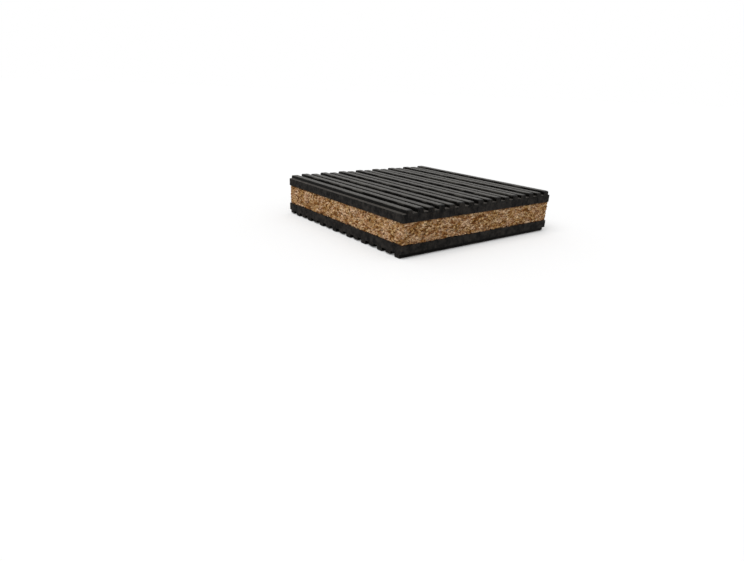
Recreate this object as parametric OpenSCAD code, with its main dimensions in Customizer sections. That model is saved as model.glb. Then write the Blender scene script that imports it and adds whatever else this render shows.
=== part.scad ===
// Anti vibration machine pad: two cross-ribbed rubber sheets bonded to a cork core.
// The ribs of the upper sheet run along Y, those of the lower sheet along X.
// Millimetres, +Z up. The origin is the middle of the pad, on the plane it rests on.

/* [Pad] */
// Length of the pad, along the upper ribs
pad_l = 101.6; // [50.8:0.1:203.2]
// Width of the pad, across the upper ribs
pad_w = 101.6; // [50.8:0.1:203.2]

/* [Rubber sheets] */
// Thickness of the web that carries the ribs
web_t = 3.9; // [2.5:0.1:6]
// Distance from the middle of one rib to the next
rib_pitch = 6.35; // [5:0.05:12.7]
// Width of a rib
rib_w = 3.5; // [2.5:0.1:4.2]
// Height of a tall rib above the web
tall_rib_h = 2.1; // [1.6:0.1:4]
// How much lower every second rib stands
rib_step = 0.4; // [0:0.05:0.6]
// Radius of the two long edges of a rib's crown
crown_r = 0.4; // [0.1:0.05:0.6]
// Radius of the fillets where a rib meets the web
root_r = 0.3; // [0.1:0.05:0.4]

/* [Cork core] */
// Thickness of the cork
cork_t = 10.2; // [4:0.1:20]
// How far the cut edge of the cork stays behind that of the rubber
cork_inset = 0.4; // [0:0.05:1]

/* [Hidden] */
// Segments of a full circle in the rib section
$fn = 32;
// Thickness of one rubber sheet, over its tall ribs
sheet_t = web_t + tall_rib_h;
// Height of the two bonded joints above the resting plane
lower_joint_z = sheet_t;
upper_joint_z = lower_joint_z + cork_t;
// Colours of the two materials
rubber_colour = "#35373a";
cork_colour = "#c39a6b";

// Whole ribs that a sheet of the given width has room for
function rib_count(across) = floor(across / rib_pitch);

// Middle of rib i, with the whole row centred on the sheet
function rib_x(i, across) = (i - (rib_count(across) - 1) / 2) * rib_pitch;

// Ribs stand low and tall in turn, and the first one is low
function rib_h(i) = i % 2 == 0 ? tall_rib_h - rib_step : tall_rib_h;

// Quarter-round fillet in the corner between a rib's right side and the web
module root_fillet() {
    difference() {
        square(root_r);
        translate([root_r, root_r]) circle(r = root_r);
    }
}

// Half of one rib's section, from its middle to its right side
module half_rib(h) {
    square([rib_w / 2, h - crown_r]);
    square([rib_w / 2 - crown_r, h]);
    translate([rib_w / 2 - crown_r, h - crown_r]) circle(r = crown_r);
    translate([rib_w / 2, 0]) root_fillet();
}

// One rib's section, standing on the web
module rib_section(h) {
    half_rib(h);
    mirror([1, 0]) half_rib(h);
}

// Section across the ribs of a sheet, with its bonded face at the bottom
module sheet_section(across) {
    translate([-across / 2, 0]) square([across, web_t]);
    for (i = [0 : rib_count(across) - 1])
        translate([rib_x(i, across), web_t]) rib_section(rib_h(i));
}

// A moulded sheet cut to size, ribs up and running along Y
module ribbed_sheet(across, along) {
    rotate([90, 0, 0])
        linear_extrude(height = along, center = true) sheet_section(across);
}

// The sheet on top, with its ribs along Y
module upper_rubber_sheet() {
    color(rubber_colour)
        translate([0, 0, upper_joint_z]) ribbed_sheet(pad_w, pad_l);
}

// The same sheet turned over and a quarter turn round, with its ribs along X
module lower_rubber_sheet() {
    color(rubber_colour)
        translate([0, 0, lower_joint_z])
            rotate([180, 0, -90]) ribbed_sheet(pad_l, pad_w);
}

// The cork between them
module cork_core() {
    color(cork_colour)
        translate([0, 0, lower_joint_z + cork_t / 2])
            cube([pad_w - 2 * cork_inset, pad_l - 2 * cork_inset, cork_t], center = true);
}

lower_rubber_sheet();
cork_core();
upper_rubber_sheet();
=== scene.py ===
"""Looks of an anti vibration machine pad: two cross-ribbed rubber sheets on a cork core.

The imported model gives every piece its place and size. This script dresses it: moulded
rubber with knife-cut edges, agglomerated cork with its granules standing proud, a pale
floor, soft light, and a camera at the viewpoint of the reference picture.
"""
import logging
import math
from dataclasses import dataclass
from enum import Enum
from typing import Any

import bpy
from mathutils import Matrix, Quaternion, Vector, noise


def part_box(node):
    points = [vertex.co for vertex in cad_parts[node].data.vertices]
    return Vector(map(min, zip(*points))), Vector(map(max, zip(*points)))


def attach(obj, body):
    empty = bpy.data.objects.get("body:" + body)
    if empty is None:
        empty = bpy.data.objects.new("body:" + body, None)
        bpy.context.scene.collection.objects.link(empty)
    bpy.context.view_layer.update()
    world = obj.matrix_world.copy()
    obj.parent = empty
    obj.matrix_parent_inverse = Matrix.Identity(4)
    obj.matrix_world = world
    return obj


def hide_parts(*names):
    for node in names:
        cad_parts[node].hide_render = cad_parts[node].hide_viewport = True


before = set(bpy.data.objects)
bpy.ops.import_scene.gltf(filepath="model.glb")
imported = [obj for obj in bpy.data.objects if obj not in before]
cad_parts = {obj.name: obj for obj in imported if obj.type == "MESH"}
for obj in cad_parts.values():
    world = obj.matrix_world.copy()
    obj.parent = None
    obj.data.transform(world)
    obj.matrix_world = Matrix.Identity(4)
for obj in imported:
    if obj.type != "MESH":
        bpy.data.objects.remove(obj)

log = logging.getLogger("machine_pad")

MM = 0.001
BODY = "root"

Point = tuple[float, float, float]
Band = tuple[float, float]
Face = tuple[int, ...]
Tree = bpy.types.NodeTree
Node = bpy.types.Node
Socket = bpy.types.NodeSocket
Source = Node | Socket

MATH = "ShaderNodeMath"
VECTOR_MATH = "ShaderNodeVectorMath"
MAP_RANGE = "ShaderNodeMapRange"
MIX = "ShaderNodeMix"
NOISE = "ShaderNodeTexNoise"
VORONOI = "ShaderNodeTexVoronoi"
PRINCIPLED = "ShaderNodeBsdfPrincipled"
OUTPUT = "ShaderNodeOutputMaterial"

# Nearly all of a noise texture's values lie between these two
NOISE_SPAN: Band = (0.3, 0.7)
# Taken off a random colour, it makes a vector that may point any way
MIDDLE_GREY: Point = (0.5, 0.5, 0.5)
# Two lengths that differ by less are the same
NEARLY_ZERO_MM = 1e-6
# The material slots of a rubber sheet
LEVEL_SLOT, WALL_SLOT, CUT_SLOT = range(3)


def linear(hex_colour: str) -> tuple[float, float, float, float]:
    """Turns an sRGB colour into the linear one that a shader takes.

    Args:
        hex_colour: the colour as "#rrggbb".

    Returns:
        Linear red, green, blue and an alpha of 1.
    """
    channels = (int(hex_colour[i : i + 2], 16) / 255 for i in (1, 3, 5))
    curve = (c / 12.92 if c <= 0.04045 else ((c + 0.055) / 1.055) ** 2.4 for c in channels)
    red, green, blue = curve
    return red, green, blue, 1.0


def add_node(
    tree: Tree, kind: str, inputs: dict[str | int, Any] | None = None, **settings: Any
) -> Node:
    """Adds a node, sets it up and links it.

    Args:
        tree: the shader or geometry tree that gets the node.
        kind: the node's type name.
        inputs: socket name or number to a value, to an output socket to link, or to a
            node whose first output is linked.
        settings: properties of the node, such as operation or feature.

    Returns:
        The new node.
    """
    node = tree.nodes.new(kind)
    for name, value in settings.items():
        setattr(node, name, value)
    for key, value in (inputs or {}).items():
        if isinstance(value, Node):
            value = value.outputs[0]
        if isinstance(value, Socket):
            tree.links.new(value, node.inputs[key])
        else:
            node.inputs[key].default_value = value
    return node


def new_material(name: str) -> tuple[bpy.types.Material, Tree]:
    """Makes an empty material.

    Args:
        name: the material's name.

    Returns:
        The material and its node tree.
    """
    material = bpy.data.materials.new(name)
    material.use_nodes = True
    tree = material.node_tree
    tree.nodes.clear()
    return material, tree


def millimetres(tree: Tree) -> Socket:
    """Gives the place on the object in millimetres, as a shader socket."""
    place = add_node(tree, "ShaderNodeTexCoord").outputs["Object"]
    return add_node(tree, VECTOR_MATH, {0: place, "Scale": 1 / MM}, operation="SCALE").outputs[0]


def away_from(tree: Tree, place: Source, level: float) -> Node:
    """Measures how far above or below a level a place lies.

    Args:
        tree: a shader or geometry tree.
        place: the place in millimetres.
        level: the level's z in millimetres.

    Returns:
        The node that gives the distance.
    """
    height = add_node(tree, "ShaderNodeSeparateXYZ", {0: place}).outputs["Z"]
    above = add_node(tree, MATH, {0: height, 1: level}, operation="SUBTRACT")
    return add_node(tree, MATH, {0: above}, operation="ABSOLUTE")


def add_piece(
    name: str, vertices: list[Point], faces: list[Face], sharp_deg: float, flat_faces: int = 0
) -> bpy.types.Object:
    """Makes a mesh object that is smooth but for its sharp edges.

    Args:
        name: the object's name.
        vertices: places in the frame, in metres.
        faces: the vertices of each face.
        sharp_deg: the angle from which an edge is sharp.
        flat_faces: how many of the last faces aren't smoothed.

    Returns:
        The object.
    """
    mesh = bpy.data.meshes.new(name)
    mesh.from_pydata(vertices, [], faces)
    smooth = [True] * (len(faces) - flat_faces) + [False] * flat_faces
    mesh.polygons.foreach_set("use_smooth", smooth)
    mesh.set_sharp_from_angle(angle=math.radians(sharp_deg))
    piece = bpy.data.objects.new(name, mesh)
    bpy.context.scene.collection.objects.link(piece)
    return piece


@dataclass(frozen=True)
class Swing:
    """What a field's band is turned into, such as darker and lighter tones."""

    band: Band
    values: Band

    @property
    def ends(self) -> dict[int, float]:
        """The ends of the band and of the values, by their numbers on a map range node."""
        return dict(enumerate(self.band + self.values, 1))


@dataclass(frozen=True)
class Pattern:
    """A noise: the real size of its largest lumps, and how many finer layers it has."""

    size_mm: float
    layers: float

    def at(self, place: Source) -> dict[str, Any]:
        """Gives what its node takes, at a place in millimetres."""
        return {"Vector": place, "Scale": 1 / self.size_mm, "Detail": self.layers}


@dataclass(frozen=True)
class Relief:
    """A relief too fine to model, which is shaded: its depth and its strength."""

    depth_mm: float
    strength: float

    def of(self, height: Source) -> dict[str, Any]:
        """Gives what its bump node takes."""
        return {"Height": height, "Distance": self.depth_mm * MM, "Strength": self.strength}


@dataclass(frozen=True)
class Coat:
    """A thin coat, such as dust or a stain, that lies where a field says.

    It covers `least` of what is below at the band's first value, and `cover` of it at
    the second. In between it rises evenly, and past the band it stays as it is.
    """

    colour: str
    band: Band
    cover: float = 1.0
    least: float = 0.0

    def over(self, tree: Tree, below: Any, field: Source, within: Source | None = None) -> Socket:
        """Lays the coat over a colour.

        Args:
            tree: the shader tree.
            below: what it lies on, as a socket or a linear colour.
            field: the noise or distance that says where it lies.
            within: a share that the coat is scaled by, where it doesn't lie all over.

        Returns:
            The mixed colour.
        """
        rise = Swing(self.band, (self.least, self.cover))
        share = add_node(tree, MAP_RANGE, {0: field, **rise.ends})
        if within is not None:
            share = add_node(tree, MATH, {0: share, 1: within}, operation="MULTIPLY")
        inputs = {0: share, 6: below, 7: linear(self.colour)}
        return add_node(tree, MIX, inputs, data_type="RGBA").outputs[2]


class Grain(Enum):
    """Which way a moulded sheet's ribs run, and its flow lines with them."""

    ALONG_X = "X"
    ALONG_Y = "Y"

    @property
    def stretch(self) -> Point:
        """The scale of the flow lines' noise on each axis, which is small along the ribs."""
        return (0.3, 1.0, 1.0) if self is Grain.ALONG_X else (1.0, 0.3, 1.0)


@dataclass(frozen=True)
class SkinState:
    """A part of the skin: its gloss, its colour, which on the walls is painted shade, and its
    powder and painted sheen.
    """

    specular: float
    colour: str
    powder_and_sheen: float


class Skin(Enum):
    """Where on a moulded sheet a skin lies, and its state there.

    The mould's release powder stays on the level groove floors, where nothing rubs it
    off, and its pale tone there is also painted sheen. The walls are coloured near black as
    painted shade for the shade in the grooves.
    """

    # The level faces' powder share is also painted sheen
    LEVEL = SkinState(specular=0.035, colour="#2a2826", powder_and_sheen=0.6)
    # Painted shade: the walls are near black for the shade that fills the grooves
    WALL = SkinState(specular=0.04, colour="#060504", powder_and_sheen=0.0)


@dataclass(frozen=True)
class MouldedRubberSkin:
    """Press-moulded, carbon-black natural rubber.

    The closed skin is dark grey and matt. The rib crowns, rubbed by handling, mirror the
    surround a little at a low angle of view, and their lighter grey is painted sheen. Pale
    powder lies in the grooves, and on the level faces it also stands as painted sheen. The
    walls' near-black colour is painted shade, and the crowns' ends are darkened as painted
    shade where their sheen falls off. Rises are distances from the pad's middle plane, and
    every size is in millimetres.
    """

    grain: Grain
    skin: Skin
    middle_z: float
    groove_rise: float
    crown_rise: float
    half_length: float
    # Painted sheen: the crowns are coloured lighter than the rest of the skin
    crown_sheen_colour: str = "#454340"
    crown_edge: float = 0.25
    # Powder on the level faces; its pale tone also stands in as painted sheen
    powder_and_sheen_colour: str = "#57534f"
    powder_and_sheen_band: Band = (0.35, 0.55)
    powder_and_sheen_thinning: float = 0.6
    # Bloom, lighter and only on the crowns, partly as painted sheen
    bloom_and_sheen: Coat = Coat("#494743", (0.45, 0.65))
    dust: Coat = Coat("#5f5c55", (0.66, 0.76), 0.8)
    # Painted shade on the crowns' ends, where their sheen falls off
    end_shade_colour: str = "#0c0c0c"
    end_shade_cover: float = 0.95
    end_reach: Band = (1.5, 0.7)
    end_wander: float = 0.8
    groove_roughness: float = 0.46
    crown_roughness: float = 0.4
    roughness_spread: float = 0.08
    ior: float = 1.52
    flow: Pattern = Pattern(0.9, 3.0)
    mottle: Pattern = Pattern(6.0, 3.0)
    # The mould's face leaves pits of some 0.1 mm, which are drawn coarser so that they show
    pits: Pattern = Pattern(0.3, 2.0)
    # Single grains of dust are finer, so what is drawn is the clumps that they gather in
    specks: Pattern = Pattern(0.5, 5.0)
    flow_relief: float = 0.5
    relief: Relief = Relief(0.05, 0.5)

    def build(self) -> bpy.types.Material:
        """Makes the material.

        Returns:
            The finished material.
        """
        name = f"moulded_rubber_{self.skin.name}_{self.grain.name}".lower()
        material, tree = new_material(name)
        place = millimetres(tree)
        crown = self.crown_share(tree, place)
        along = add_node(tree, VECTOR_MATH, {0: place, 1: self.grain.stretch}, operation="MULTIPLY")
        flow = add_node(tree, NOISE, self.flow.at(along))
        pits = add_node(tree, NOISE, self.pits.at(place))
        height = {0: flow, 1: self.flow_relief, 2: pits}
        height = add_node(tree, MATH, height, operation="MULTIPLY_ADD")
        inputs = {
            "Base Color": self.colour(tree, place, crown, flow),
            "Roughness": self.roughness(tree, crown, flow),
            "IOR": self.ior,
            "Specular IOR Level": self.skin.value.specular,
            "Normal": add_node(tree, "ShaderNodeBump", self.relief.of(height)),
        }
        add_node(tree, OUTPUT, {"Surface": add_node(tree, PRINCIPLED, inputs)})
        return material

    def crown_share(self, tree: Tree, place: Socket) -> Socket:
        """Tells crown from groove by the distance to the pad's middle plane.

        Args:
            tree: the shader tree.
            place: the place in millimetres.

        Returns:
            0 in a groove, rising to 1 on a crown.
        """
        away = away_from(tree, place, self.middle_z)
        shoulder = self.crown_rise - (self.crown_rise - self.groove_rise) * self.crown_edge
        return add_node(tree, MAP_RANGE, {0: away, 1: shoulder, 2: self.crown_rise}).outputs[0]

    def colour(self, tree: Tree, place: Socket, crown: Socket, flow: Node) -> Socket:
        """Colours the skin: powder with painted sheen, the crowns' painted sheen, bloom with
        painted sheen, the ends' painted shade, and dust.

        Args:
            tree: the shader tree.
            place: the place in millimetres.
            crown: the crowns' share.
            flow: the flow lines' noise.

        Returns:
            The colour.
        """
        state = self.skin.value
        mottle = add_node(tree, NOISE, self.mottle.at(place))
        specks = add_node(tree, NOISE, self.specks.at(place))
        # Powder on the level faces, which also paints the sheen that they catch
        thinnest = state.powder_and_sheen * self.powder_and_sheen_thinning
        powder_and_sheen = Coat(self.powder_and_sheen_colour, self.powder_and_sheen_band, state.powder_and_sheen, thinnest)
        colour = powder_and_sheen.over(tree, linear(state.colour), mottle)
        # Painted sheen: the crowns are mixed toward a lighter grey
        if self.skin is Skin.LEVEL:
            inputs = {0: crown, 6: colour, 7: linear(self.crown_sheen_colour)}
            colour = add_node(tree, MIX, inputs, data_type="RGBA").outputs[2]
        # Bloom on the crowns, partly painted sheen
        colour = self.bloom_and_sheen.over(tree, colour, mottle, within=crown)
        # Painted shade: the crowns are darkened toward their ends
        colour = self.painted_end_shade().over(tree, colour, self.toward_end(tree, place, flow), within=crown)
        return self.dust.over(tree, colour, specks)

    def painted_end_shade(self) -> Coat:
        """Gives the painted shade that darkens the crowns' ends, where their sheen falls off."""
        start, full = (self.half_length + self.end_wander / 2 - reach for reach in self.end_reach)
        return Coat(self.end_shade_colour, (start, full), self.end_shade_cover)

    def toward_end(self, tree: Tree, place: Socket, flow: Node) -> Socket:
        """Measures how far along the ribs a place lies from the pad's middle.

        Args:
            tree: the shader tree.
            place: the place in millimetres.
            flow: the flow lines' noise, which makes the distance wander.

        Returns:
            The distance in millimetres.
        """
        along = add_node(tree, "ShaderNodeSeparateXYZ", {0: place}).outputs[self.grain.value]
        away = add_node(tree, MATH, {0: along}, operation="ABSOLUTE")
        inputs = {0: flow, 1: self.end_wander, 2: away}
        return add_node(tree, MATH, inputs, operation="MULTIPLY_ADD").outputs[0]

    def roughness(self, tree: Tree, crown: Socket, flow: Node) -> Socket:
        """Makes the rubbed crowns smoother than the grooves, with streaks along the flow.

        Args:
            tree: the shader tree.
            crown: the crowns' share.
            flow: the flow lines' noise.

        Returns:
            The roughness.
        """
        inputs = {0: crown, 3: self.groove_roughness, 4: self.crown_roughness}
        dull = add_node(tree, MAP_RANGE, inputs)
        spread = self.roughness_spread / 2
        streaks = Swing(NOISE_SPAN, (-spread, spread))
        streak = add_node(tree, MAP_RANGE, {0: flow, **streaks.ends})
        return add_node(tree, MATH, {0: dull, 1: streak}, operation="ADD").outputs[0]


@dataclass(frozen=True)
class KnifeCutRubber:
    """The same rubber where a blade parted it.

    The open cut is matt and nearly black, with greyer scuffs, faint drag lines that run
    the blade's way, up and down, and a little cork dust.
    """

    colour: str = "#0a0a0a"
    scuff: Coat = Coat("#282624", (0.4, 0.66))
    line: Coat = Coat("#33302d", (0.5, 0.75), 0.6)
    dust: Coat = Coat("#574636", (0.62, 0.75), 0.8)
    roughness: float = 0.85
    ior: float = 1.52
    specular: float = 0.08
    drag_stretch: Point = (1.0, 1.0, 0.25)
    # A blade leaves lines some 0.2 mm apart, which are drawn coarser so that they show
    drag: Pattern = Pattern(0.6, 4.0)
    scuffs: Pattern = Pattern(2.6, 3.0)
    specks: Pattern = Pattern(0.45, 4.0)
    relief: Relief = Relief(0.05, 0.7)

    def build(self) -> bpy.types.Material:
        """Makes the material.

        Returns:
            The finished material.
        """
        material, tree = new_material("knife_cut_rubber")
        place = millimetres(tree)
        scuffs = add_node(tree, NOISE, self.scuffs.at(place))
        upright = {0: place, 1: self.drag_stretch}
        upright = add_node(tree, VECTOR_MATH, upright, operation="MULTIPLY")
        drag = add_node(tree, NOISE, self.drag.at(upright))
        specks = add_node(tree, NOISE, self.specks.at(place))
        colour = self.scuff.over(tree, linear(self.colour), scuffs)
        colour = self.line.over(tree, colour, drag)
        colour = self.dust.over(tree, colour, specks)
        inputs = {
            "Base Color": colour,
            "Roughness": self.roughness,
            "IOR": self.ior,
            "Specular IOR Level": self.specular,
            "Normal": add_node(tree, "ShaderNodeBump", self.relief.of(drag)),
        }
        add_node(tree, OUTPUT, {"Surface": add_node(tree, PRINCIPLED, inputs)})
        return material


@dataclass(frozen=True)
class Granule:
    """What the granule field says about a place: sockets of a shader or geometry tree."""

    random: Socket
    edge: Socket
    slope: Socket
    place: Socket


@dataclass(frozen=True)
class CorkGranules:
    """The granules of pressed cork, as one field that both the relief and the colour read.

    The press flattens the granules, so they are lower than they are wide.
    """

    granule_mm: float = 1.55
    flattening: float = 2.1
    warp: Pattern = Pattern(1.4, 1.0)
    warp_mm: float = 0.75
    crumble: Pattern = Pattern(0.35, 1.0)
    crumble_mm: float = 0.12
    # The way that a granule slopes is a random vector, about this long
    mean_slope: float = 0.5

    @staticmethod
    def bend(tree: Tree, position: Socket, bends: Pattern, reach_mm: float) -> Socket:
        """Bends space by soft noise.

        Args:
            tree: a shader or geometry tree.
            position: the place in millimetres.
            bends: the noise.
            reach_mm: how far a place may move.

        Returns:
            The bent place in millimetres.
        """
        wobble = add_node(tree, NOISE, bends.at(position))
        inputs = {0: wobble.outputs["Color"], 1: MIDDLE_GREY}
        centred = add_node(tree, VECTOR_MATH, inputs, operation="SUBTRACT")
        shift = add_node(tree, VECTOR_MATH, {0: centred, "Scale": reach_mm * 2}, operation="SCALE")
        return add_node(tree, VECTOR_MATH, {0: position, 1: shift}).outputs[0]

    def at(self, tree: Tree, position: Socket) -> Granule:
        """Finds the granule at a place.

        Args:
            tree: a shader or geometry tree.
            position: the place in millimetres.

        Returns:
            Three random numbers for the granule, the distance to its edge in granule
            sizes, a slope across it in a direction of its own, and the bent place.
        """
        broad = self.bend(tree, position, self.warp, self.warp_mm)
        fine = self.bend(tree, broad, self.crumble, self.crumble_mm)
        flat = {0: fine, 1: (1.0, 1.0, self.flattening)}
        place = add_node(tree, VECTOR_MATH, flat, operation="MULTIPLY").outputs[0]
        inputs = {"Vector": place, "Scale": 1 / self.granule_mm}
        inner = add_node(tree, VORONOI, inputs)
        edge = add_node(tree, VORONOI, inputs, feature="DISTANCE_TO_EDGE")
        random, middle = inner.outputs["Color"], inner.outputs["Position"]
        way = add_node(tree, VECTOR_MATH, {0: random, 1: MIDDLE_GREY}, operation="SUBTRACT")
        away = add_node(tree, VECTOR_MATH, {0: place, 1: middle}, operation="SUBTRACT")
        slope = add_node(tree, VECTOR_MATH, {0: away, 1: way}, operation="DOT_PRODUCT")
        return Granule(random, edge.outputs["Distance"], slope.outputs["Value"], place)


@dataclass(frozen=True)
class AgglomeratedCork:
    """Ground cork pressed with a binder and sawn.

    Tan granules lie every way, some golden and some rosy, with faint growth rings. Dark
    flecks of bark, seams that are open here and closed there, and pores break them up.
    """

    granules: CorkGranules
    joints_z: tuple[float, float]
    tones: tuple[float, ...] = (0.0, 0.16, 0.38, 0.65, 0.86, 1.0)
    golden: tuple[str, ...] = ("#6e441a", "#8f622e", "#ae8651", "#be9866", "#cba878", "#dcbf92")
    rosy: tuple[str, ...] = ("#6a3e1f", "#8c5c34", "#aa805b", "#ba9270", "#c8a383", "#dcbc99")
    rosy_band: Band = (0.5, 0.85)
    rosy_by_granule: float = 0.35
    mottle_swing: Swing = Swing((0.2, 0.8), (-0.28, 0.28))
    zone_swing: Swing = Swing(NOISE_SPAN, (-0.24, 0.3))
    ring_swing: Swing = Swing(NOISE_SPAN, (-0.13, 0.13))
    fleck: Coat = Coat("#391b05", (0.78, 0.83), 0.85)
    seam: Coat = Coat("#40230a", (0.1, 0.0))
    seam_openness: Swing = Swing((0.35, 0.6), (0.2, 0.95))
    pore: Coat = Coat("#40230a", (0.42, 0.3), 0.45)
    adhesive: Coat = Coat("#332018", (0.3, -0.15), 0.9)
    fleck_mm: float = 0.6
    mottle: Pattern = Pattern(0.35, 3.0)
    # As wide as the dark late growth in a ring of bark
    ring_mm: float = 0.28
    # A cork cell is some 0.04 mm wide, and is drawn coarser so that it shows
    pores: Pattern = Pattern(0.16, 1.0)
    zones: Pattern = Pattern(5.0, 2.0)
    soak_wander: float = 0.5
    roughness: float = 0.9
    ior: float = 1.45
    specular: float = 0.1
    mottle_relief: float = 0.8
    pore_relief: float = 0.5
    relief: Relief = Relief(0.12, 0.8)

    def build(self) -> bpy.types.Material:
        """Makes the material.

        Returns:
            The finished material.
        """
        material, tree = new_material("agglomerated_cork")
        position = millimetres(tree)
        granule = self.granules.at(tree, position)
        random = add_node(tree, "ShaderNodeSeparateColor", {"Color": granule.random}).outputs
        mottle = add_node(tree, NOISE, self.mottle.at(position))
        pores = add_node(tree, NOISE, self.pores.at(position))
        colour = self.flesh(tree, position, granule, random, mottle)
        colour = self.breaks(tree, granule, pores, colour)
        colour = self.adhesive.over(tree, colour, self.from_joint(tree, position, mottle))
        height = {0: mottle, 1: self.mottle_relief, 2: random[2]}
        height = add_node(tree, MATH, height, operation="MULTIPLY_ADD")
        height = {0: pores, 1: self.pore_relief, 2: height}
        height = add_node(tree, MATH, height, operation="MULTIPLY_ADD")
        inputs = {
            "Base Color": colour,
            "Roughness": self.roughness,
            "IOR": self.ior,
            "Specular IOR Level": self.specular,
            "Normal": add_node(tree, "ShaderNodeBump", self.relief.of(height)),
        }
        add_node(tree, OUTPUT, {"Surface": add_node(tree, PRINCIPLED, inputs)})
        return material

    def flesh(
        self,
        tree: Tree,
        position: Socket,
        granule: Granule,
        random: bpy.types.NodeOutputs,
        mottle: Node,
    ) -> Socket:
        """Colours the granules: a tone for each, with mottling and growth rings in it.

        Neighbours tend to share a tone and a hue, by a broad noise.

        Args:
            tree: the shader tree.
            position: the place in millimetres.
            granule: the granule at the place.
            random: the granule's three random numbers.
            mottle: fine noise.

        Returns:
            The colour.
        """
        zone = add_node(tree, NOISE, self.zones.at(position))
        ring = self.granules.mean_slope * self.ring_mm
        phase = {0: granule.slope, 1: 1 / ring, 2: random[2]}
        phase = add_node(tree, MATH, phase, operation="MULTIPLY_ADD")
        rings = {"W": phase, "Scale": 1.0, "Detail": 1.0}
        rings = add_node(tree, NOISE, rings, noise_dimensions="1D")
        swings = ((mottle, self.mottle_swing), (zone, self.zone_swing), (rings, self.ring_swing))
        tone = random[0]
        for field, swing in swings:
            moved = add_node(tree, MAP_RANGE, {0: field, **swing.ends})
            tone = add_node(tree, MATH, {0: tone, 1: moved}, operation="ADD").outputs[0]
        hues = []
        for colours in (self.golden, self.rosy):
            hue = add_node(tree, "ShaderNodeValToRGB", {"Fac": tone})
            elements = hue.color_ramp.elements
            for index, (place, colour) in enumerate(zip(self.tones, colours)):
                stop = elements[index] if index < 2 else elements.new(place)
                stop.position, stop.color = place, linear(colour)
            hues.append(hue.outputs["Color"])
        family = {0: random[1], 1: self.rosy_by_granule, 2: zone}
        family = add_node(tree, MATH, family, operation="MULTIPLY_ADD")
        start, end = self.rosy_band
        rosy_share = add_node(tree, MAP_RANGE, {0: family, 1: start, 2: end})
        inputs = {0: rosy_share, 6: hues[0], 7: hues[1]}
        return add_node(tree, MIX, inputs, data_type="RGBA").outputs[2]

    def breaks(self, tree: Tree, granule: Granule, pores: Node, colour: Socket) -> Socket:
        """Breaks the granules' colour up with flecks of bark, seams and pores.

        Args:
            tree: the shader tree.
            granule: the granule at the place.
            pores: the noise whose low values are pores.
            colour: the granules' colour.

        Returns:
            The colour.
        """
        flecks = add_node(tree, VORONOI, {"Vector": granule.place, "Scale": 1 / self.fleck_mm})
        chance = add_node(tree, "ShaderNodeSeparateColor", {"Color": flecks.outputs["Color"]})
        colour = self.fleck.over(tree, colour, chance.outputs[1])
        openings = Pattern(self.granules.granule_mm, 1.0)
        opening = add_node(tree, NOISE, openings.at(granule.place))
        openness = add_node(tree, MAP_RANGE, {0: opening, **self.seam_openness.ends})
        colour = self.seam.over(tree, colour, granule.edge, within=openness)
        return self.pore.over(tree, colour, pores)

    def from_joint(self, tree: Tree, position: Socket, wander: Node) -> Socket:
        """Measures the distance to the nearer bonded joint, whose adhesive soaks the cork.

        Args:
            tree: the shader tree.
            position: the place in millimetres.
            wander: noise that makes the soaked strip's edge wander.

        Returns:
            The distance in millimetres.
        """
        ways = {n: away_from(tree, position, joint) for n, joint in enumerate(self.joints_z)}
        near = add_node(tree, MATH, ways, operation="MINIMUM")
        inputs = {0: wander, 1: -self.soak_wander, 2: near}
        return add_node(tree, MATH, inputs, operation="MULTIPLY_ADD").outputs[0]


class SheetSide(Enum):
    """Which way up a rubber sheet lies, and which way its ribs run."""

    UPPER = "ribs up, along Y"
    LOWER = "ribs down, along X"


@dataclass(frozen=True)
class SectionPoint:
    """A point of a sheet's section: across, above the bonded face, and its rib or -1."""

    x: float
    z: float
    rib: int = -1


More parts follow.
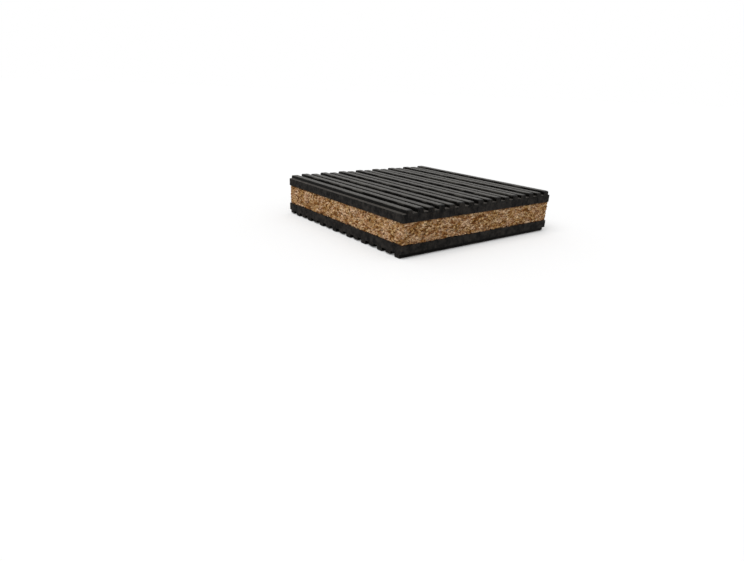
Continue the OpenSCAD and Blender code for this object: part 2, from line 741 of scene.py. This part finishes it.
@dataclass
class RibbedSheet:
    """A moulded rubber sheet with ribs on one face and knife-cut edges. Sizes are in mm.

    The blade rolled the cut edges down a little and ran not quite true. A seed is a place
    in the noise, so that no two ribs, sheets or cut faces are alike.
    """

    name: str
    node: str
    side: SheetSide
    rib_pitch: float = 6.35
    rib_w: float = 3.5
    tall_rib_h: float = 2.1
    rib_step: float = 0.4
    crown_r: float = 0.4
    crown_steps: int = 4
    root_r: float = 0.3
    root_steps: int = 3
    wall_draft: float = 0.04
    sway: float = 0.07
    sway_length: float = 19.0
    sway_seed: float = 0.3
    dip: float = 0.05
    dip_length: float = 11.0
    dip_seed: float = 5.1
    rib_seed: float = 3.7
    lower_seed: float = 11.0
    cut_relief: float = 0.07
    cut_shares: tuple[float, float, float] = (0.5, 0.3, 0.2)
    cut_bow: tuple[float, float] = (13.0, 9.0)
    cut_chatter: tuple[float, float] = (1.1, 2.6)
    chatter_seed: float = 7.0
    cut_seeds: tuple[float, float, float, float] = (0.5, 1.5, 2.5, 3.5)
    arris: float = 0.1
    arris_drop: float = 0.6
    end_roll: float = 0.25
    end_reach: float = 1.5
    end_stations: tuple[float, ...] = (0.3, 0.6, 1.0, 1.5, 2.0, 2.6)
    ledge_roll: float = 0.2
    ledge_reach: float = 1.1
    ledge_steps: tuple[float, ...] = (0.0, 0.1, 0.3, 0.6)
    station_gap: float = 1.7
    cut_rows: int = 8
    sharp_deg: float = 36.0

    def __post_init__(self) -> None:
        """Takes the sheet's extents from its solid."""
        low, high = (Vector(corner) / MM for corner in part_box(self.node))
        upper = self.side is SheetSide.UPPER
        self.web_t = high.z - low.z - self.tall_rib_h
        self.across = high.x - low.x if upper else high.y - low.y
        self.along = high.y - low.y if upper else high.x - low.x
        self.bond_z = low.z if upper else high.z
        # The hair that is added keeps sixteen whole pitches from being rounded down
        self.ribs = int(self.across / self.rib_pitch + 0.01)

    def to_frame(self, x: float, y: float, z: float) -> Point:
        """Turns a place on the loose sheet, ribs up and along y, into one in the frame.

        Args:
            x: across the ribs.
            y: along the ribs.
            z: above the bonded face.

        Returns:
            The place in the frame, in metres.
        """
        if self.side is SheetSide.UPPER:
            return x * MM, y * MM, (self.bond_z + z) * MM
        return -y * MM, -x * MM, (self.bond_z - z) * MM

    def rib_middle(self, index: int) -> float:
        """Gives the middle of a rib across the sheet."""
        return (index - (self.ribs - 1) / 2) * self.rib_pitch

    def half_rib(self, height: float) -> list[tuple[float, float]]:
        """Draws the left half of a rib, from the web to beside the middle of its crown.

        Args:
            height: the crown's height above the bonded face.

        Returns:
            Places across, from the rib's middle, and heights above the bonded face.
        """
        foot = (self.rib_w + self.wall_draft) / 2
        crown = (self.rib_w - self.wall_draft) / 2
        quarter = math.pi / 2
        points = []
        for k in range(self.root_steps + 1):
            turn = quarter * k / self.root_steps
            x = -foot - self.root_r * (1 - math.sin(turn))
            points.append((x, self.web_t + self.root_r * (1 - math.cos(turn))))
        for k in range(self.crown_steps + 1):
            turn = quarter * k / self.crown_steps
            x = -crown + self.crown_r * (1 - math.cos(turn))
            points.append((x, height - self.crown_r * (1 - math.sin(turn))))
        return points + [(-crown / 2, height)]

    def section(self) -> list[SectionPoint]:
        """Draws the ribbed face as a height over the width.

        Returns:
            The section's points, from one edge of the sheet to the other.
        """
        edge = self.across / 2
        outline = [SectionPoint(self.ledge_reach * k - edge, self.web_t) for k in self.ledge_steps]
        for index in range(self.ribs):
            middle = self.rib_middle(index)
            height = self.web_t + self.tall_rib_h - (self.rib_step if index % 2 == 0 else 0.0)
            left = self.half_rib(height)
            outline.extend(SectionPoint(middle + x, z, index) for x, z in left)
            outline.append(SectionPoint(middle, height, index))
            outline.extend(SectionPoint(middle - x, z, index) for x, z in reversed(left))
            if index < self.ribs - 1:
                outline.append(SectionPoint(middle + self.rib_pitch / 2, self.web_t))
        steps = reversed(self.ledge_steps)
        return outline + [SectionPoint(edge - self.ledge_reach * k, self.web_t) for k in steps]

    def stations(self) -> list[float]:
        """Gives the places along the ribs where the section is repeated."""
        half = self.along / 2
        count = round(self.along / self.station_gap)
        inner = [-half + self.along * k / count for k in range(2, count - 1)]
        ends = [half - depth for depth in (0.0, self.arris, *self.end_stations)]
        return [-y for y in ends] + inner + ends[::-1]

    def surface_point(self, point: SectionPoint, y: float) -> Point:
        """Moves a point of the ideal moulding to where a real one has it.

        Args:
            point: the point of the section.
            y: its place along the ribs.

        Returns:
            The moved place on the loose sheet.
        """
        x, z = point.x, point.z
        rise = (z - self.web_t) / self.tall_rib_h
        if point.rib >= 0 and rise > 0:
            seed = point.rib * self.rib_seed
            if self.side is SheetSide.LOWER:
                seed += self.lower_seed
            sway = noise.noise(Vector((y / self.sway_length, seed, self.sway_seed)))
            dip = noise.noise(Vector((y / self.dip_length, seed, self.dip_seed)))
            x += self.sway * rise * sway
            z -= self.dip * rise * (1 + dip) / 2
            z -= self.end_roll * rise * self.nearness(y, self.along, self.end_reach)
        z -= self.ledge_roll * self.nearness(x, self.across, self.ledge_reach)
        if abs(y) > self.along / 2 - self.arris / 2:
            z -= self.arris * self.arris_drop
        return x, y, z

    @staticmethod
    def nearness(place: float, size: float, reach: float) -> float:
        """Tells how near a cut edge a place is, as the blade's pull on it.

        Args:
            place: the place, from the sheet's middle.
            size: the size of the sheet that way.
            reach: how far in from the edge the pull reaches.

        Returns:
            1 at the edge, falling off to 0 at the reach.
        """
        return max(0.0, 1 - (size / 2 - abs(place)) / reach) ** 2

    def cut_depth(self, place: float, z: float, seed: float) -> float:
        """Tells how far the blade ran inside the nominal edge, at a place on a cut face.

        Args:
            place: the place along the cut.
            z: the place above the bonded face.
            seed: the cut face's own.

        Returns:
            The depth, of which one share is even and the others bow and chatter.
        """
        along, down = self.cut_bow
        bow = noise.noise(Vector((place / along, z / down, seed)))
        along, down = self.cut_chatter
        chatter = noise.noise(Vector((place / along, z / down, seed + self.chatter_seed)))
        even_share, bow_share, chatter_share = self.cut_shares
        return self.cut_relief * (even_share + bow_share * bow + chatter_share * chatter)

    def build(self) -> bpy.types.Object:
        """Builds the sheet as one closed mesh.

        Returns:
            The object, whose level faces, walls and cut faces each have their own slot.
        """
        outline, stations = self.section(), self.stations()
        columns, rows = len(outline), len(stations)
        places = [self.surface_point(point, y) for y in stations for point in outline]
        faces: list[Face] = []
        for j in range(rows - 1):
            for i in range(columns - 1):
                a = j * columns + i
                faces.append((a, a + 1, a + columns + 1, a + columns))
        row_slots = [self.skin_slot(left, right) for left, right in zip(outline, outline[1:])]
        slots = row_slots * (rows - 1)
        # The cut faces go down from the rim of the ribbed face to the bonded one
        loop = self.rim(columns, rows)
        levels = [loop]
        for level in range(self.cut_rows - 1, -1, -1):
            share = level / self.cut_rows
            levels.append(list(range(len(places), len(places) + len(loop))))
            places += [(places[v][0], places[v][1], places[v][2] * share) for v in loop]
        for above, below in zip(levels, levels[1:]):
            for k in range(len(loop)):
                n = (k + 1) % len(loop)
                faces.append((above[k], below[k], below[n], above[n]))
        faces.append(tuple(reversed(levels[-1])))
        slots += [CUT_SLOT] * (len(faces) - len(slots))
        vertices = [self.to_frame(*self.pulled_in(place)) for place in places]
        piece = add_piece(self.name, vertices, faces, self.sharp_deg)
        piece.data.polygons.foreach_set("material_index", slots)
        return piece

    @staticmethod
    def skin_slot(left: SectionPoint, right: SectionPoint) -> int:
        """Tells a level face from a wall, between two neighbouring points of the section."""
        return WALL_SLOT if abs(right.z - left.z) > abs(right.x - left.x) else LEVEL_SLOT

    @staticmethod
    def rim(columns: int, rows: int) -> list[int]:
        """Walks round the outer vertices of the ribbed face, anticlockwise.

        Args:
            columns: how many points the section has.
            rows: how many times it is repeated.

        Returns:
            The vertices' numbers.
        """
        front = list(range(columns))
        right = [j * columns + columns - 1 for j in range(1, rows)]
        back = [(rows - 1) * columns + i for i in range(columns - 2, -1, -1)]
        left = [j * columns for j in range(rows - 2, 0, -1)]
        return front + right + back + left

    def pulled_in(self, place: Point) -> Point:
        """Sinks a point of a cut face to the depth that the blade ran at.

        Args:
            place: the place on the loose sheet.

        Returns:
            The sunk place. One that isn't on a cut face stays where it is.
        """
        x, y, z = place
        left, right, front, back = self.cut_seeds
        if math.isclose(abs(x), self.across / 2, abs_tol=NEARLY_ZERO_MM):
            x -= math.copysign(self.cut_depth(y, z, right if x > 0 else left), x)
        if math.isclose(abs(y), self.along / 2, abs_tol=NEARLY_ZERO_MM):
            y -= math.copysign(self.cut_depth(x, z, back if y > 0 else front), y)
        return x, y, z

    def dress(self, piece: bpy.types.Object, finishes: tuple[bpy.types.Material, ...]) -> None:
        """Gives the sheet its finishes, level, wall and cut, and its place in the frame.

        Args:
            piece: the sheet.
            finishes: the material of each slot.
        """
        for finish in finishes:
            piece.data.materials.append(finish)
        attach(piece, BODY)
        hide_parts(self.node)


@dataclass
class CorkCore:
    """The sawn cork slab, with granules standing proud of its four open edges. Sizes are in mm."""

    granules: CorkGranules
    name: str = "sawn_cork_core"
    node: str = "cork_core"
    grid: float = 0.24
    sunk: float = 0.08
    proud: float = 0.24
    tilt: float = 0.3
    seam_depth: float = 0.3
    seam_share: float = 0.16
    lost_depth: float = 0.5
    lost_share: float = 0.05
    lost_at_joint: float = 0.22
    joint_reach: float = 0.9
    swell: float = 0.1
    swell_scale: float = 0.09
    limit: float = 0.36
    sharp_deg: float = 60.0

    def __post_init__(self) -> None:
        """Takes the slab's extents from its solid."""
        self.low, self.high = (Vector(corner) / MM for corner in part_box(self.node))
        self.thick = self.high.z - self.low.z
        self.middle_z = (self.low.z + self.high.z) / 2

    def outline(self) -> list[tuple[float, float]]:
        """Gives the slab's outline as closely set points, anticlockwise."""
        low, high = self.low, self.high
        corners = [(low.x, low.y), (high.x, low.y), (high.x, high.y), (low.x, high.y)]
        points = []
        for (ax, ay), (bx, by) in zip(corners, corners[1:] + corners[:1]):
            count = round(math.hypot(bx - ax, by - ay) / self.grid)
            shares = (k / count for k in range(count))
            points.extend((ax + (bx - ax) * share, ay + (by - ay) * share) for share in shares)
        return points

    def build(self) -> bpy.types.Object:
        """Builds the slab as one closed mesh and raises its granules.

        Returns:
            The object.
        """
        outline = self.outline()
        count = len(outline)
        rows = round(self.thick / self.grid)
        heights = [self.low.z + self.thick * r / rows for r in range(rows + 1)]
        vertices = [(x * MM, y * MM, z * MM) for z in heights for x, y in outline]
        faces: list[Face] = []
        for r in range(rows):
            for k in range(count):
                a, b = r * count + k, r * count + (k + 1) % count
                faces.append((a, b, b + count, a + count))
        faces.append(tuple(range(count - 1, -1, -1)))
        faces.append(tuple(range(rows * count, (rows + 1) * count)))
        piece = add_piece(self.name, vertices, faces, self.sharp_deg, flat_faces=2)
        self.raise_granules(piece)
        return piece

    def raise_granules(self, piece: bpy.types.Object) -> None:
        """Moves the edge faces in and out by granule, and makes that part of the mesh.

        Args:
            piece: the slab.
        """
        tree = bpy.data.node_groups.new("cork_relief", "GeometryNodeTree")
        for in_out in ("INPUT", "OUTPUT"):
            tree.interface.new_socket("Geometry", in_out=in_out, socket_type="NodeSocketGeometry")
        normal = add_node(tree, "GeometryNodeInputNormal")
        level = add_node(tree, VECTOR_MATH, {0: normal, 1: (1.0, 1.0, 0.0)}, operation="MULTIPLY")
        outward = add_node(tree, VECTOR_MATH, {0: level}, operation="NORMALIZE")
        metres = add_node(tree, MATH, {0: self.relief(tree), 1: MM}, operation="MULTIPLY")
        offset = add_node(tree, VECTOR_MATH, {0: outward, "Scale": metres}, operation="SCALE")
        inputs = {"Geometry": add_node(tree, "NodeGroupInput"), "Offset": offset}
        moved = add_node(tree, "GeometryNodeSetPosition", inputs)
        add_node(tree, "NodeGroupOutput", {0: moved})
        modifier = piece.modifiers.new("cork_relief", "NODES")
        modifier.node_group = tree
        with bpy.context.temp_override(object=piece, active_object=piece, selected_objects=[piece]):
            bpy.ops.object.modifier_apply(modifier=modifier.name)

    def relief(self, tree: Tree) -> Node:
        """Works out how far the slab's side stands out at a place.

        Seams are sunk, each granule stands as proud as its number says and has a tilt of
        its own, torn ones leave a hollow, and the whole side swells a little.

        Args:
            tree: the geometry tree.

        Returns:
            The node that gives the relief in millimetres.
        """
        inputs = {0: add_node(tree, "GeometryNodeInputPosition"), "Scale": 1 / MM}
        position = add_node(tree, VECTOR_MATH, inputs, operation="SCALE").outputs[0]
        granule = self.granules.at(tree, position)
        random = add_node(tree, "ShaderNodeSeparateXYZ", {0: granule.random}).outputs
        inputs = {"Vector": position, "Scale": self.swell_scale, "Detail": 1.0}
        swell = add_node(tree, NOISE, inputs)
        lost_share = self.lost_here(tree, position)
        lost = add_node(tree, MATH, {0: random["Y"], 1: lost_share}, operation="LESS_THAN")
        seams = Swing((0.0, self.seam_share), (-self.seam_depth, 0.0))
        swells = Swing(NOISE_SPAN, (-self.swell, self.swell))
        parts = (
            add_node(tree, MAP_RANGE, {0: granule.edge, **seams.ends}),
            add_node(tree, MAP_RANGE, {0: random["Z"], 3: -self.sunk, 4: self.proud}),
            add_node(tree, MATH, {0: granule.slope, 1: self.tilt}, operation="MULTIPLY"),
            add_node(tree, MATH, {0: lost, 1: -self.lost_depth}, operation="MULTIPLY"),
            add_node(tree, MAP_RANGE, {0: swell, **swells.ends}),
        )
        total = parts[0]
        for part in parts[1:]:
            total = add_node(tree, MATH, {0: total, 1: part}, operation="ADD")
        return add_node(tree, MATH, {0: total, 1: self.limit}, operation="MINIMUM")

    def lost_here(self, tree: Tree, position: Socket) -> Node:
        """Gives the share of granules that the saw tore out, which is larger by the joints.

        Args:
            tree: the geometry tree.
            position: the place in millimetres.

        Returns:
            The node that gives the share.
        """
        away = away_from(tree, position, self.middle_z)
        half = self.thick / 2
        rise = Swing((half - self.joint_reach, half), (self.lost_share, self.lost_at_joint))
        return add_node(tree, MAP_RANGE, {0: away, **rise.ends})

    def dress(self, piece: bpy.types.Object, cork: bpy.types.Material) -> None:
        """Gives the slab its finish and its place in the frame.

        Args:
            piece: the slab.
            cork: its material.
        """
        piece.data.materials.append(cork)
        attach(piece, BODY)
        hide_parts(self.node)


@dataclass(frozen=True)
class Viewpoint:
    """The camera of the reference picture, from a fit to the pad's corners and edges."""

    position_mm: Point = (-187.5, -209.7, 68.2)
    target_mm: Point = (-76.8, -64.6, 0.0)
    roll_deg: float = 2.3
    focal_px: float = 506.0
    picture_w_px: float = 744.0
    sensor_w_mm: float = 36.0
    clip_m: Band = (0.005, 20.0)

    def build(self) -> None:
        """Makes the camera and makes it the scene's."""
        data = bpy.data.cameras.new("viewpoint")
        data.sensor_width = self.sensor_w_mm
        data.lens = self.sensor_w_mm * self.focal_px / self.picture_w_px
        data.clip_start, data.clip_end = self.clip_m
        camera = bpy.data.objects.new("viewpoint", data)
        position, target = Vector(self.position_mm) * MM, Vector(self.target_mm) * MM
        camera.location = position
        camera.rotation_mode = "QUATERNION"
        aim = (target - position).to_track_quat("-Z", "Y")
        camera.rotation_quaternion = aim @ Quaternion((0, 0, 1), math.radians(self.roll_deg))
        bpy.context.scene.collection.objects.link(camera)
        bpy.context.scene.camera = camera


@dataclass(frozen=True)
class Studio:
    """A pale floor that runs into a white surround, one broad soft light and an even sky."""

    floor_m: float = 40.0
    floor_colour: str = "#e6e6e6"
    floor_lift: float = 0.16
    sky: float = 0.6
    key_strength: float = 1.75
    key_from: Point = (-0.5, -0.1, 0.87)
    key_angle_deg: float = 50.0

    def build(self) -> None:
        """Makes the floor, the world and the lamp."""
        self.floor()
        self.world()
        self.key()

    def floor(self) -> None:
        """Lays the floor. What sees it directly or mirrored sees it lifted to white.

        From below it is clear, so that the underside of the pad shows.
        """
        half = self.floor_m / 2
        corners = [(-half, -half, 0), (half, -half, 0), (half, half, 0), (-half, half, 0)]
        mesh = bpy.data.meshes.new("floor")
        mesh.from_pydata(corners, [], [(0, 1, 2, 3)])
        material, tree = new_material("studio_floor")
        lift = {0: self.sees_white(tree), 1: self.floor_lift}
        lift = add_node(tree, MATH, lift, operation="MULTIPLY")
        paper = add_node(tree, "ShaderNodeBsdfDiffuse", {"Color": linear(self.floor_colour)})
        glow = add_node(tree, "ShaderNodeEmission", {"Color": linear("#ffffff"), "Strength": lift})
        lifted = add_node(tree, "ShaderNodeAddShader", {0: paper, 1: glow})
        below = add_node(tree, "ShaderNodeNewGeometry").outputs["Backfacing"]
        clear = add_node(tree, "ShaderNodeBsdfTransparent")
        either = add_node(tree, "ShaderNodeMixShader", {0: below, 1: lifted, 2: clear})
        add_node(tree, OUTPUT, {"Surface": either})
        mesh.materials.append(material)
        floor = bpy.data.objects.new("floor", mesh)
        bpy.context.scene.collection.objects.link(floor)

    def world(self) -> None:
        """Makes an even sky that the camera and reflections see as white."""
        world = bpy.data.worlds.new("surround")
        world.use_nodes = True
        tree = world.node_tree
        tree.nodes.clear()
        strength = add_node(tree, MAP_RANGE, {0: self.sees_white(tree), 3: self.sky, 4: 1.0})
        inputs = {"Color": linear("#ffffff"), "Strength": strength}
        back = add_node(tree, "ShaderNodeBackground", inputs)
        add_node(tree, "ShaderNodeOutputWorld", {"Surface": back})
        bpy.context.scene.world = world

    @staticmethod
    def sees_white(tree: Tree) -> Socket:
        """Gives 1 for camera, mirrored and transmitted rays, and 0 for the rest."""
        path = add_node(tree, "ShaderNodeLightPath").outputs
        inputs = {0: path["Is Camera Ray"], 1: path["Is Glossy Ray"]}
        seen = add_node(tree, MATH, inputs, operation="MAXIMUM")
        inputs = {0: seen, 1: path["Is Transmission Ray"]}
        return add_node(tree, MATH, inputs, operation="MAXIMUM").outputs[0]

    def key(self) -> None:
        """Sets the broad soft light, high above and to the left of the pad."""
        data = bpy.data.lights.new("key", "SUN")
        data.energy = self.key_strength
        data.angle = math.radians(self.key_angle_deg)
        lamp = bpy.data.objects.new("key", data)
        lamp.rotation_mode = "QUATERNION"
        lamp.rotation_quaternion = (-Vector(self.key_from)).to_track_quat("-Z", "Y")
        bpy.context.scene.collection.objects.link(lamp)


def main() -> None:
    """Builds the pad's pieces, dresses them and sets the stage."""
    logging.basicConfig(level=logging.INFO, format="%(name)s: %(message)s")
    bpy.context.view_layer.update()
    Viewpoint().build()
    granules = CorkGranules()
    core = CorkCore(granules)
    cut = KnifeCutRubber().build()
    cork = AgglomeratedCork(granules, joints_z=(core.low.z, core.high.z)).build()
    sheets = (
        (RibbedSheet("lower_ribbed_sheet", "lower_rubber_sheet", SheetSide.LOWER), Grain.ALONG_X),
        (RibbedSheet("upper_ribbed_sheet", "upper_rubber_sheet", SheetSide.UPPER), Grain.ALONG_Y),
    )
    for sheet, grain in sheets:
        piece = sheet.build()
        groove_rise = core.thick / 2 + sheet.web_t
        crown_rise = groove_rise + sheet.tall_rib_h - sheet.rib_step
        sizes = (core.middle_z, groove_rise, crown_rise, sheet.along / 2)
        skins = (MouldedRubberSkin(grain, skin, *sizes).build() for skin in Skin)
        sheet.dress(piece, (*skins, cut))
        faces = len(piece.data.polygons)
        log.info("%s: %d ribs, %s, %d faces", piece.name, sheet.ribs, sheet.side.value, faces)
    slab = core.build()
    core.dress(slab, cork)
    log.info("%s: %d faces", slab.name, len(slab.data.polygons))
    Studio().build()
    bpy.context.scene.view_settings.view_transform = "Standard"


if __name__ == "__main__":
    main()
